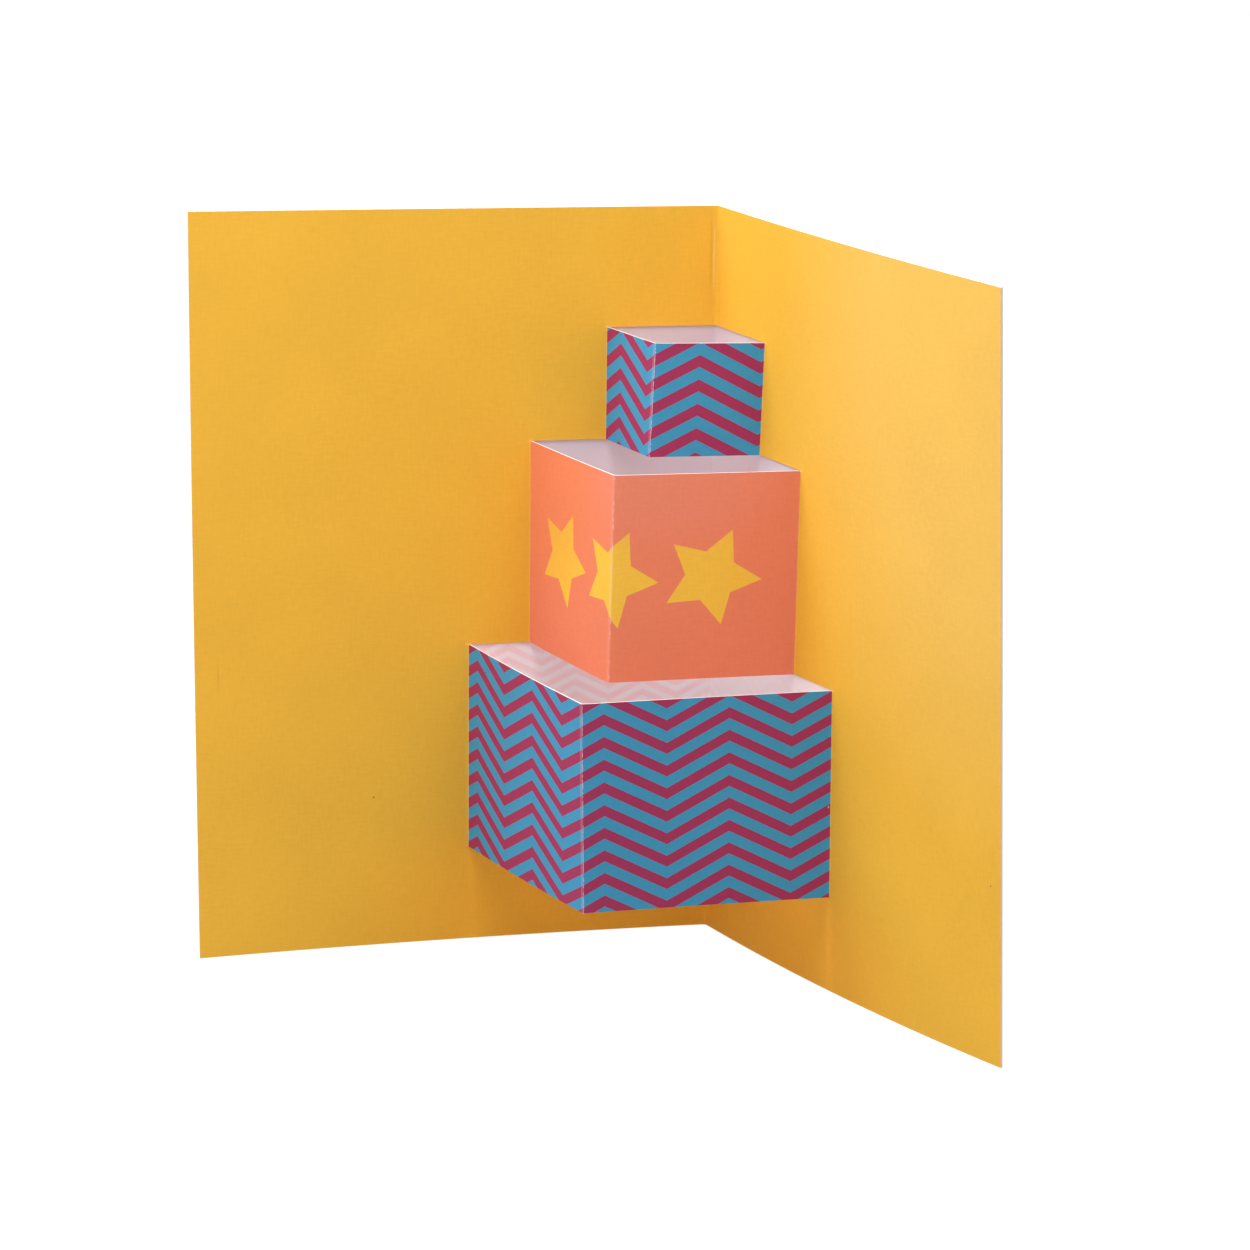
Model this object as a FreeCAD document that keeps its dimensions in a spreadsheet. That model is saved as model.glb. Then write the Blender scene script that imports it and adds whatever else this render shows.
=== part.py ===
# A pop-up greeting card that stands open on its bottom edges.
# The inner sheet is one printed card, folded at its centre. Pairs of level slits free three strips
# across that fold. Each strip is pushed forward and folded three times, and stands out as a gift box
# that is open at its top and bottom. The outer cover is a second card, folded once and glued flat
# behind the first. It closes the gaps that the strips leave. The card has settled as card does: each
# panel leans a little differently at its foot and at its top, and bends softly further out.
#
# Frame: +Z is up, X runs across the open card and the boxes face -Y. The origin is at the middle of
# the card's footprint, at table height. All lengths are millimetres and all angles are degrees.

import FreeCAD, Part
import math
import os
import Sketcher
from FreeCAD import Vector

# Driving sizes. An A4 sheet folded once is an A5 card. The printed face is the one that shows, and
# every width across the card is measured on that face, from the line where it folds. A panel's splay
# is its angle from the card's middle plane beside the spine. Its bend is how much further its outer
# part is splayed, past a corner that is clear of the deepest box's fold by the bend clearance.
SIZES = {
    "sheet_width": 297.0,
    "sheet_height": 210.0,
    "sheet_thickness": 0.3,
    "cover_thickness": 0.3,
    "glue_film": 0.05,
    "fold_radius": 0.4,
    "bend_radius": 300.0,
    "bend_clearance": 20.0,
    "left_splay_angle_foot": 48.9,
    "left_splay_angle_top": 53.7,
    "left_bend_angle_foot": -3.5,
    "left_bend_angle_top": -0.5,
    "right_splay_angle_foot": 56.0,
    "right_splay_angle_top": 53.8,
    "right_bend_angle_foot": 5.0,
    "right_bend_angle_top": 3.0,
    "margin_below": 27.0,
    "bottom_box_height": 59.0,
    "bottom_box_face": 70.0,
    "middle_box_height": 58.0,
    "middle_box_face": 51.5,
    "top_box_height": 32.0,
    "top_box_face": 30.0,
}
BOXES = ("bottom", "middle", "top")

# Sketch references: the origin point, and the start, end and centre of a curve.
ORIGIN = -1
START, END, CENTRE = 1, 2, 3

doc = FreeCAD.newDocument("pop_up_card")


def make_spreadsheet():
    """Put every driving size in one sheet, under its own alias."""
    sheet = doc.addObject("Spreadsheet::Sheet", "Sizes")
    for row, (alias, value) in enumerate(SIZES.items(), start=1):
        sheet.set(f"A{row}", alias.replace("_", " "))
        sheet.set(f"B{row}", str(value))
        sheet.setAlias(f"B{row}", alias)
    doc.recompute()
    return sheet


def size(expression):
    """Work out an expression over the sizes now, to place the first lines of a sketch."""
    return float(doc.getObject("Sizes").evalExpression(expression))


# Sizes that follow from the driving ones, each written as an expression over the sheet. A level is a
# height above the table.


def settled(side, what, level):
    """The splay or the bend of one panel at a level, between its values at the foot and the top."""
    foot, top = f"Sizes.{side}_{what}_angle_foot", f"Sizes.{side}_{what}_angle_top"
    return f"({foot} + ({top} - {foot}) * ({level}) / Sizes.sheet_height)"


def inner_angle(side, level):
    """The angle of a panel's inner part from the card's middle plane."""
    return settled(side, "splay", level)


def outer_angle(side, level):
    """The angle of a panel's outer part from the card's middle plane."""
    return f"({settled(side, 'splay', level)} + {settled(side, 'bend', level)})"


def reach(side, turn, level):
    """How far a panel's outer edge is from the spine, across the card by sin or forward by cos."""
    inner = f"{INNER_LEG} * {turn}({inner_angle(side, level)})"
    outer = f"{OUTER_LEG} * {turn}({outer_angle(side, level)})"
    return f"({inner} + {outer})"


def farthest(side, turn):
    """The greater of a panel's reaches at its foot and at its top."""
    return f"max({reach(side, turn, FOOT)}; {reach(side, turn, TOP)})"


def half_angle(level):
    """Half the angle between the two panels, beside the spine."""
    return f"(({inner_angle('left', level)} + {inner_angle('right', level)}) / 2)"


FOOT = "0"
TOP = "Sizes.sheet_height"
INNER_LEG = "(Sizes.bottom_box_face + Sizes.bend_clearance)"
OUTER_LEG = f"(Sizes.sheet_width / 2 - {INNER_LEG})"
COVER_SETBACK = "(Sizes.sheet_thickness + Sizes.glue_film)"
COVER_RADIUS = f"(Sizes.fold_radius + {COVER_SETBACK})"
FOLD_CENTRE = f"(Sizes.fold_radius / sin({half_angle(FOOT)}))"
CARD_BACK = f"({COVER_RADIUS} + Sizes.cover_thickness - {FOLD_CENTRE})"
SPINE_X = f"(({farthest('left', 'sin')} - {farthest('right', 'sin')}) / 2)"
SPINE_Y = f"((max({farthest('left', 'cos')}; {farthest('right', 'cos')}) - {CARD_BACK}) / 2)"


def left_of(way):
    """The unit vector to the left of a level direction, which is the back of the card."""
    return Vector(-way.y, way.x, 0)


class Fold:
    """A bend in the card at one corner of a section, as an arc on its face and one on its back.

    A valley folds towards the viewer, so its printed face has the smaller radius.
    """

    def __init__(self, corner, way_in, way_out, radius, thickness):
        self.valley = way_in.cross(way_out).z < 0
        radii = (radius, radius + thickness)
        self.face_radius, self.back_radius = radii if self.valley else reversed(radii)
        setback = self.face_radius * math.tan(way_in.getAngle(way_out) / 2)
        self.before = corner - way_in * setback
        self.after = corner + way_out * setback
        away = -1 if self.valley else 1
        self.centre = self.before + left_of(way_in) * away * self.face_radius

    def behind(self, place):
        """Find the place on the back's arc that lies behind one on the face's arc."""
        return self.centre + (place - self.centre) * (self.back_radius / self.face_radius)


class Section:
    """A closed level section through folded card, drawn on a body's ground plane.

    The printed face is a chain of straight legs with an arc at each fold, and the back of the card
    is the same chain one thickness behind it. Guide lines carry the sizes.
    """

    def __init__(self, body, name, level, setback, radius, thickness):
        self.sketch = body.newObject("Sketcher::SketchObject", name)
        ground = next(f for f in body.Origin.OriginFeatures if f.Role == "XY_Plane")
        self.sketch.AttachmentSupport = [(ground, "")]
        self.sketch.MapMode = "FlatFace"
        self.sketch.setExpression("AttachmentOffset.Base.z", f"({level}) * 1 mm")
        self.level = level
        self.radius = radius
        self.thickness = thickness
        self.panel_guides(setback)

    def line(self, start, end, guide=False):
        return self.sketch.addGeometry(Part.LineSegment(start, end), guide)

    def bind(self, *constraint):
        self.sketch.addConstraint(Sketcher.Constraint(*constraint))

    def measure(self, name, expression, kind, *parts):
        """Add a constraint whose value follows an expression over the sheet."""
        value = size(expression)
        unit = "mm"
        if kind == "Angle":
            value = math.radians(value)
            unit = "deg"
        index = self.sketch.addConstraint(Sketcher.Constraint(kind, *parts, value))
        self.sketch.renameConstraint(index, name)
        self.sketch.setExpression(f"Constraints.{name}", f"{expression} * 1 {unit}")

    def panel_guides(self, setback):
        """Draw the two panels as guide lines that meet at the spine, each in two parts.

        A setback puts the guides that far behind the printed face. The lines then meet a little
        further out along the middle of the fold, and each inner part is longer by as much as that
        takes.
        """
        half = half_angle(self.level)
        skew = f"(({inner_angle('left', self.level)} - {inner_angle('right', self.level)}) / 2)"
        spine_x = f"({SPINE_X} + {setback} * sin({skew}) / sin({half}))"
        spine_y = f"({SPINE_Y} + {setback} * cos({skew}) / sin({half}))"
        inner_leg = f"({INNER_LEG} + {setback} / tan({half}))"
        self.spine = Vector(size(spine_x), size(spine_y), 0)
        self.left = self.panel("left", -1, inner_leg)
        self.right = self.panel("right", 1, inner_leg)
        self.bind("Coincident", self.left["inner"], END, self.right["inner"], START)
        self.measure("spine_x", spine_x, "DistanceX", ORIGIN, START, self.left["inner"], END)
        self.measure("spine_y", spine_y, "DistanceY", ORIGIN, START, self.left["inner"], END)

    def panel(self, side, hand, inner_leg):
        """Draw one panel's guides, which run from left to right as the whole section does."""
        angles = {"inner": inner_angle(side, self.level), "outer": outer_angle(side, self.level)}
        lengths = {"inner": inner_leg, "outer": OUTER_LEG}
        panel = {}
        place = self.spine
        for part in ("inner", "outer"):
            angle = math.radians(size(angles[part]))
            way = Vector(hand * math.sin(angle), -math.cos(angle), 0)
            beyond = place + way * size(lengths[part])
            ends = (place, beyond) if side == "right" else (beyond, place)
            panel[part] = self.line(*ends, True)
            panel[f"{part}_way"], panel[f"{part}_end"] = way, beyond
            self.measure(f"{side}_{part}_leg", lengths[part], "Distance", panel[part])
            self.measure(f"{side}_{part}_lean", f"({hand} * ({angles[part]} - 90))", "Angle", panel[part])
            place = beyond
        near, far = (END, START) if side == "right" else (START, END)
        self.bind("Coincident", panel["inner"], near, panel["outer"], far)
        return panel

    def draw_panels(self):
        """Draw the card as two panels that meet at the spine."""
        corners = [self.left["outer_end"], self.left["inner_end"], self.spine,
                   self.right["inner_end"], self.right["outer_end"]]
        guides = [self.left["outer"], self.left["inner"], self.right["inner"], self.right["outer"]]
        self.draw(corners, guides, [BEND, self.radius, BEND])

    def draw_box(self, face):
        """Draw the card with its middle standing forward as a box.

        A face is as wide as its fold is far from the spine, and runs parallel to the opposite
        panel. The four make a rhombus, so the box folds flat as the card shuts.
        """
        left_fold = self.spine + self.left["inner_way"] * size(face)
        right_fold = self.spine + self.right["inner_way"] * size(face)
        front_fold = left_fold + right_fold - self.spine
        left_face = self.line(left_fold, front_fold, True)
        right_face = self.line(front_fold, right_fold, True)
        self.bind("Coincident", left_face, END, right_face, START)
        self.bind("PointOnObject", left_face, START, self.left["inner"])
        self.bind("PointOnObject", right_face, END, self.right["inner"])
        self.bind("Parallel", left_face, self.right["inner"])
        self.bind("Parallel", right_face, self.left["inner"])
        self.measure("left_face", face, "Distance", left_face, START, self.left["inner"], END)
        self.measure("right_face", face, "Distance", right_face, END, self.right["inner"], START)
        corners = [self.left["outer_end"], self.left["inner_end"], left_fold, front_fold, right_fold,
                   self.right["inner_end"], self.right["outer_end"]]
        guides = [self.left["outer"], self.left["inner"], left_face, right_face,
                  self.right["inner"], self.right["outer"]]
        self.draw(corners, guides, [BEND, self.radius, self.radius, self.radius, BEND])

    def draw(self, corners, guides, radii):
        """Draw the printed face along the guides, the back behind it, and close both ends."""
        ways = [(b - a).normalize() for a, b in zip(corners, corners[1:])]
        thickness = size(self.thickness)
        turns = zip(corners[1:-1], ways, ways[1:], radii)
        folds = [Fold(*turn, size(radius), thickness) for *turn, radius in turns]
        first_back = corners[0] + left_of(ways[0]) * thickness
        last_back = corners[-1] + left_of(ways[-1]) * thickness
        face = self.legs(corners[0], [(f.before, f.after) for f in folds], corners[-1])
        back = self.legs(first_back, [(f.behind(f.before), f.behind(f.after)) for f in folds], last_back)
        for number, (fold, radius) in enumerate(zip(folds, radii)):
            self.round_fold(number, fold, radius, face, back)
        self.lay_along(face, guides)
        self.close_end(face[0], back[0], START)
        self.close_end(face[-1], back[-1], END)

    def legs(self, first, turns, last):
        """Draw the straight legs of one face of the card, with a gap for the arc at each fold."""
        points = [first, *(point for turn in turns for point in turn), last]
        return [self.line(*ends) for ends in zip(points[::2], points[1::2])]

    def round_fold(self, number, fold, radius, face, back):
        """Join the legs that meet at a fold with two arcs about one centre."""
        inner, outer = radius, f"({radius} + {self.thickness})"
        face_arc = self.arc(fold, fold.face_radius)
        back_arc = self.arc(fold, fold.back_radius)
        first, last = (END, START) if fold.valley else (START, END)
        for lines, arc in ((face, face_arc), (back, back_arc)):
            self.bind("Tangent", lines[number], END, arc, first)
            self.bind("Tangent", arc, last, lines[number + 1], START)
        self.bind("Coincident", face_arc, CENTRE, back_arc, CENTRE)
        self.measure(f"face_fold_{number}", inner if fold.valley else outer, "Radius", face_arc)
        self.measure(f"back_fold_{number}", outer if fold.valley else inner, "Radius", back_arc)

    def arc(self, fold, radius):
        """Draw one of a fold's arcs, which always runs the counter-clockwise way."""
        first, last = (fold.after, fold.before) if fold.valley else (fold.before, fold.after)
        circle = Part.Circle(fold.centre, Vector(0, 0, 1), radius)
        ends = [math.atan2(p.y - fold.centre.y, p.x - fold.centre.x) for p in (first, last)]
        return self.sketch.addGeometry(Part.ArcOfCircle(circle, *ends), False)

    def lay_along(self, face, guides):
        """Hold the legs of the printed face to the guides, from the first end to the last."""
        self.bind("Coincident", face[0], START, guides[0], START)
        self.bind("Coincident", face[-1], END, guides[-1], END)
        for leg, guide in zip(face[:-1], guides[:-1]):
            self.bind("PointOnObject", leg, END, guide)
        for leg, guide in zip(face[1:], guides[1:]):
            self.bind("PointOnObject", leg, START, guide)

    def close_end(self, leg, behind, place):
        """Draw the cut edge of the card, square across from the printed face to the back."""
        edge = self.line(self.sketch.getPoint(leg, place), self.sketch.getPoint(behind, place))
        self.bind("Coincident", edge, START, leg, place)
        self.bind("Coincident", edge, END, behind, place)
        self.bind("Perpendicular", edge, leg)
        self.bind("Parallel", behind, leg)


BEND = "Sizes.bend_radius"
SHEET = ("0", "Sizes.fold_radius", "Sizes.sheet_thickness")
COVER = (COVER_SETBACK, COVER_RADIUS, "Sizes.cover_thickness")


def join_sections(body, name, sections):
    """Raise the card through level sections, straight from each one to the next."""
    band = body.newObject("PartDesign::AdditiveLoft", name)
    band.Profile = sections[0].sketch
    band.Sections = [section.sketch for section in sections[1:]]
    band.Ruled = True
    doc.recompute()


def band(body, name, levels, card, face=None):
    """A full-width band of card between levels, with a box in its middle if a face is given."""
    sections = []
    for number, level in enumerate(levels):
        section = Section(body, f"{name}_section_{number}", level, *card)
        if face is None:
            section.draw_panels()
        else:
            section.draw_box(face)
        sections.append(section)
    join_sections(body, name, sections)


def slit_levels():
    """The levels of the card's foot, its four rows of slits and its top, upwards."""
    levels = [FOOT, "Sizes.margin_below"]
    for box in BOXES:
        levels.append(f"{levels[-1]} + Sizes.{box}_box_height")
    return [*levels, TOP]


def make_pop_up_sheet():
    """The inner sheet, one piece of card: a band below the boxes, the boxes, and a band above."""
    body = doc.addObject("PartDesign::Body", "pop_up_sheet")
    body.Label = "pop_up_sheet"
    levels = slit_levels()
    band(body, "band_below", levels[:2], SHEET)
    for box, foot, top in zip(BOXES, levels[1:], levels[2:]):
        band(body, f"{box}_box_band", (foot, top), SHEET, f"Sizes.{box}_box_face")
    band(body, "band_above", levels[-2:], SHEET)
    return body


def make_outer_cover():
    """The cover, folded round the back of the inner sheet and flush with its edges."""
    body = doc.addObject("PartDesign::Body", "outer_cover")
    body.Label = "outer_cover"
    band(body, "cover_band", slit_levels(), COVER)
    return body


def check(parts):
    """Stop if any feature failed or any piece is not one sound solid."""
    for item in doc.Objects:
        if "Invalid" in item.State or "Error" in item.State:
            raise RuntimeError(f"{item.Name} did not build: {item.State}")
    for part in parts:
        shape = part.Shape
        if shape.isNull() or not shape.isValid() or len(shape.Solids) != 1:
            raise RuntimeError(f"{part.Label} is not one valid solid")
        box = shape.BoundBox
        print(f"{part.Label}: {shape.Volume:.1f} mm3, {len(shape.Faces)} faces,",
              f"x {box.XMin:.2f} to {box.XMax:.2f}, y {box.YMin:.2f} to {box.YMax:.2f},",
              f"z {box.ZMin:.2f} to {box.ZMax:.2f}")


make_spreadsheet()
PARTS = [make_pop_up_sheet(), make_outer_cover()]
doc.recompute()
check(PARTS)
os.makedirs("parts", exist_ok=True)
for part in PARTS:
    part.Shape.exportStep(f"parts/{part.Label}.step")
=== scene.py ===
"""Looks of a pop-up greeting card that stands open on a pale studio floor.

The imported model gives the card's place and size. The printed sheet and its cover are built here as
flat, die-cut cards, on which every place is known by how far it is across the flat sheet and how
high. A Geometry Nodes rule then folds them, so the print, the slits and the cracks in the ink all
follow the card round its folds. Sizes are millimetres, and MM turns them to metres.
"""

import logging
import math
from dataclasses import dataclass
from enum import Enum
from typing import Any, Mapping, Sequence, Union

import bpy
from mathutils import Matrix, Vector


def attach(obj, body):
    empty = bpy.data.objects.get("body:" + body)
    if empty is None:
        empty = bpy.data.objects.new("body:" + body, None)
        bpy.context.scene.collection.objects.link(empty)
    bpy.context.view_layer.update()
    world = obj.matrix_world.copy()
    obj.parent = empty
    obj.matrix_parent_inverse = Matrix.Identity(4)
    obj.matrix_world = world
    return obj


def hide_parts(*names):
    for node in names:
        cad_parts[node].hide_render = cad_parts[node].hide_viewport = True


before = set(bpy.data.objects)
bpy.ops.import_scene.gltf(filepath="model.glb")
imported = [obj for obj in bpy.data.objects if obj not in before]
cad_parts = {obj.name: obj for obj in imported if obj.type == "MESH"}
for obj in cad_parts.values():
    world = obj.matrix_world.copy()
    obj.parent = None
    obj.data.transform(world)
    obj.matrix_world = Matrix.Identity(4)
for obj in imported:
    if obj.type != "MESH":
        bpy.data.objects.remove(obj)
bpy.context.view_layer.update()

logging.basicConfig(level=logging.INFO, format="%(message)s")
log = logging.getLogger("pop_up_card")

MM = 0.001
# Points nearer than WELD are joined, and folds sharper than SHARP are shaded as edges
WELD = 0.002 * MM
SHARP = math.radians(40)
WHITE = "#FFFFFF"

FLAT = "flat"
REACH = "reach"
SETTLE = "settle"
BARE = "bare"
CUT = "cut"
WEAR = "wear"
SHEET_SLOT = "printed_card"
COVER_SLOT = "cover_card"

Socket = bpy.types.NodeSocket
Tree = bpy.types.NodeTree
Size = Union[float, tuple[float, float, float]]
# A share from 0 to 1, and the colour that covers what lies under it by that share
Layer = tuple[Socket, str]

MATH = "ShaderNodeMath"
VECTOR_MATH = "ShaderNodeVectorMath"
MIX = "ShaderNodeMix"
RANGE = "ShaderNodeMapRange"
NOISE = "ShaderNodeTexNoise"
MIX_FACTOR, MIX_FIRST, MIX_SECOND, MIX_RESULT = 0, 6, 7, 2


def add(tree: Tree, kind: str, inputs: Union[Sequence[Any], Mapping[Any, Any]] = (),
        out: Union[int, str] = 0, **settings: Any) -> Any:
    """Add a node, set it up and fill its inputs.

    Args:
        tree: the node tree that gets the node.
        kind: the node's type name.
        inputs: values or output sockets, in the order of the node's inputs, or by name or index.
        out: which output is handed back.
        settings: properties of the node.

    Returns:
        The chosen output socket, or nothing for a node without outputs.
    """
    made = tree.nodes.new(kind)
    for key, value in settings.items():
        setattr(made, key, value)
    pairs = inputs.items() if isinstance(inputs, Mapping) else enumerate(inputs)
    for key, value in pairs:
        if isinstance(value, Socket):
            tree.links.new(value, made.inputs[key])
        elif value is not None:
            made.inputs[key].default_value = value
    return made.outputs[out] if len(made.outputs) else None


def linear(code: str) -> tuple[float, float, float, float]:
    """Turn an sRGB hex colour to linear light.

    Args:
        code: the colour as "#RRGGBB".

    Returns:
        Red, green, blue and an alpha of one.
    """
    shares = [int(code[i:i + 2], 16) / 255 for i in (1, 3, 5)]
    levels = [c / 12.92 if c <= 0.04045 else ((c + 0.055) / 1.055) ** 2.4 for c in shares]
    return (*levels, 1.0)


# The card's paper and print


@dataclass(frozen=True)
class Mark:
    """A soft-edged oval in the print: where it is on the flat sheet, its size and its colour."""

    across: float
    height: float
    width: float
    length: float
    colour: str
    strength: float


@dataclass(frozen=True)
class CardStock:
    """Pulp board of about 300 g per square metre, calendered and left uncoated.

    Rolling leaves it flat and matt, so the eye sees an even tone with a trace of sheen at a low
    angle. The paper machine's wire leaves a mesh of threads about 0.35 mm apart. That is too fine
    for the picture, so it is drawn three times as coarse. Pulp also settles in clouds of a few
    millimetres, which are drawn broader, as the slow change of tone that they give a whole panel.

    roughness, index: how matt the surface is, and its index of refraction
    mottle: how far the mesh and the clouds move the tone, as a share of it
    mesh_mm, cloud_mm: spacing of the drawn threads, and width of the clouds
    stretch: how the noise is scaled along the threads and across them
    bump_mm, bump_share: height of the mesh, and how much of its slope the light sees
    marks, solid: its marks, and the share of their radius that is at full strength
    """

    name: str
    colour: str
    roughness: float = 0.72
    index: float = 1.45
    mottle: float = 0.062
    mesh_mm: float = 1.05
    cloud_mm: float = 28.0
    stretch: tuple[float, float] = (0.3, 1.5)
    bump_mm: float = 0.012
    bump_share: float = 0.35
    marks: tuple[Mark, ...] = ()
    solid: float = 0.5

    def build(self) -> bpy.types.Material:
        """Make the material.

        Returns:
            A Principled material with the print's colour, the paper's grain and a fine bump.
        """
        made = bpy.data.materials.new(self.name)
        made.use_nodes = True
        tree = made.node_tree
        tree.nodes.clear()
        flat = add(tree, "ShaderNodeUVMap", uv_map=FLAT)
        across = add(tree, "ShaderNodeSeparateXYZ", [flat], out="X")
        height = add(tree, "ShaderNodeSeparateXYZ", [flat], out="Y")
        colour = add(tree, "ShaderNodeCombineColor", linear(self.colour)[:3])
        layers = self.inks(tree, across, height)
        layers += [self.wear_and_light_mark(tree, mark, across, height) for mark in self.marks]
        for share, code in layers:
            colour = add(tree, MIX, {MIX_FACTOR: share, MIX_FIRST: colour, MIX_SECOND: linear(code)},
                         out=MIX_RESULT, data_type="RGBA")
        grain = self.grain(tree, flat)
        toned = add(tree, VECTOR_MATH, {0: colour, "Scale": grain}, operation="SCALE")
        relief = add(tree, "ShaderNodeBump",
                     {"Strength": self.bump_share, "Distance": self.bump_mm * MM, "Height": grain})
        skin = add(tree, "ShaderNodeBsdfPrincipled",
                   {"Base Color": toned, "Roughness": self.roughness, "IOR": self.index,
                    "Normal": relief})
        add(tree, "ShaderNodeOutputMaterial", [skin])
        return made

    def inks(self, tree: Tree, across: Socket, height: Socket) -> list[Layer]:
        """Give the layers that are printed over the card's colour: none on plain card.

        Args:
            tree: the material's node tree.
            across: distance across the flat sheet from its centre fold, in mm.
            height: height on the sheet, in mm.

        Returns:
            The layers, from the lowest up.
        """
        return []

    def wear_and_light_mark(self, tree: Tree, mark: Mark, across: Socket, height: Socket) -> Layer:
        """Give one mark as a layer.

        Args:
            tree: the material's node tree.
            mark: the mark.
            across: distance across the flat sheet, in mm.
            height: height on the sheet, in mm.

        Returns:
            The layer.
        """
        # A mark is a speck of wear, or a painted highlight, shade or sheen
        sideways = add(tree, MATH, [across, mark.across], operation="SUBTRACT")
        upward = add(tree, MATH, [height, mark.height], operation="SUBTRACT")
        wide = add(tree, MATH, [sideways, 2 / mark.width], operation="MULTIPLY")
        long = add(tree, MATH, [upward, 2 / mark.length], operation="MULTIPLY")
        offset = add(tree, "ShaderNodeCombineXYZ", [wide, long])
        radius = add(tree, VECTOR_MATH, [offset], out="Value", operation="LENGTH")
        share = add(tree, RANGE, [radius, self.solid, 1.0, mark.strength, 0.0])
        return share, mark.colour

    def grain(self, tree: Tree, flat: Socket) -> Socket:
        """Give the paper's mesh and cloudiness as a brightness near one.

        Args:
            tree: the material's node tree.
            flat: the place on the flat sheet, in mm.

        Returns:
            The brightness socket.
        """
        total = add(tree, NOISE, {"Vector": flat, "Scale": 1 / self.cloud_mm, "Detail": 1.0},
                    noise_dimensions="2D")
        along, over = self.stretch
        for scale in ((along, over, 1.0), (over, along, 1.0)):
            place = add(tree, "ShaderNodeMapping", {"Vector": flat, "Scale": scale})
            thread = add(tree, NOISE, {"Vector": place, "Scale": 1 / self.mesh_mm, "Detail": 2.0},
                         noise_dimensions="2D")
            total = add(tree, MATH, [total, thread], operation="ADD")
        # Three noises, each spread about a half
        middle, spread = 1.5, 0.75
        return add(tree, RANGE, [total, middle - spread, middle + spread,
                                 1 - self.mottle, 1 + self.mottle])


@dataclass(frozen=True)
class CreasedPrint(CardStock):
    """Offset ink on card that was creased after printing.

    The press leaves a film of ink about a micron thick, so the print has crisp edges, no relief
    and the card's own matt look. The creasing rule stretches it for about a millimetre beside the
    fold, so a narrow paler band runs down the fold's left. The bare flecks on the fold itself are
    the ink_cracks piece.

    worn, worn_share: the paper's colour under the ink, and how much of it shows
    worn_width, worn_edge: width of the band, and of its soft edges
    """

    worn: str = "#F9C9CF"
    worn_share: float = 0.13
    worn_width: float = 1.3
    worn_edge: float = 0.1

    def crease(self, tree: Tree, across: Socket) -> Layer:
        """Give the paper that shows through the thinned ink on the left of the centre fold.

        Args:
            tree: the material's node tree.
            across: distance across the flat sheet, in mm.

        Returns:
            The layer.
        """
        start = -self.worn_width
        left = add(tree, RANGE, [across, start, start + self.worn_edge, 0.0, self.worn_share])
        right = add(tree, RANGE, [across, -self.worn_edge, self.worn_edge, 1.0, 0.0])
        share = add(tree, MATH, [left, right], operation="MULTIPLY")
        return share, self.worn


@dataclass(frozen=True)
class ChevronPrint(CreasedPrint):
    """Two offset inks in level zigzag bands, each about 3 mm high and of real size.

    peak: a place across the sheet where the zigzag peaks, in mm
    half_period: distance from a peak to the next trough
    rise: how much the bands climb for each mm across
    period, band: height of one pair of bands, and of the second ink's band
    top: height on the sheet of the second ink's highest band, at a peak
    """

    second: str = "#A02A5A"
    peak: float = 0.0
    half_period: float = 17.5
    rise: float = 0.5
    period: float = 6.4
    band: float = 3.1
    top: float = 0.0

    def inks(self, tree: Tree, across: Socket, height: Socket) -> list[Layer]:
        """Give the second ink's bands and the worn crease.

        Args:
            tree: the material's node tree.
            across: distance across the flat sheet, in mm.
            height: height on the sheet, in mm.

        Returns:
            The layers, from the lowest up.
        """
        from_peak = add(tree, MATH, [across, self.peak], operation="SUBTRACT")
        beside = add(tree, MATH, [from_peak, self.half_period], operation="PINGPONG")
        drop = add(tree, MATH, [beside, self.rise, height], operation="MULTIPLY_ADD")
        below_top = add(tree, MATH, [self.top, drop], operation="SUBTRACT")
        place = add(tree, MATH, [below_top, self.period, 0.0], operation="WRAP")
        second = add(tree, MATH, [place, self.band], operation="LESS_THAN")
        return [(second, self.second), self.crease(tree, across)]


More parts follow.
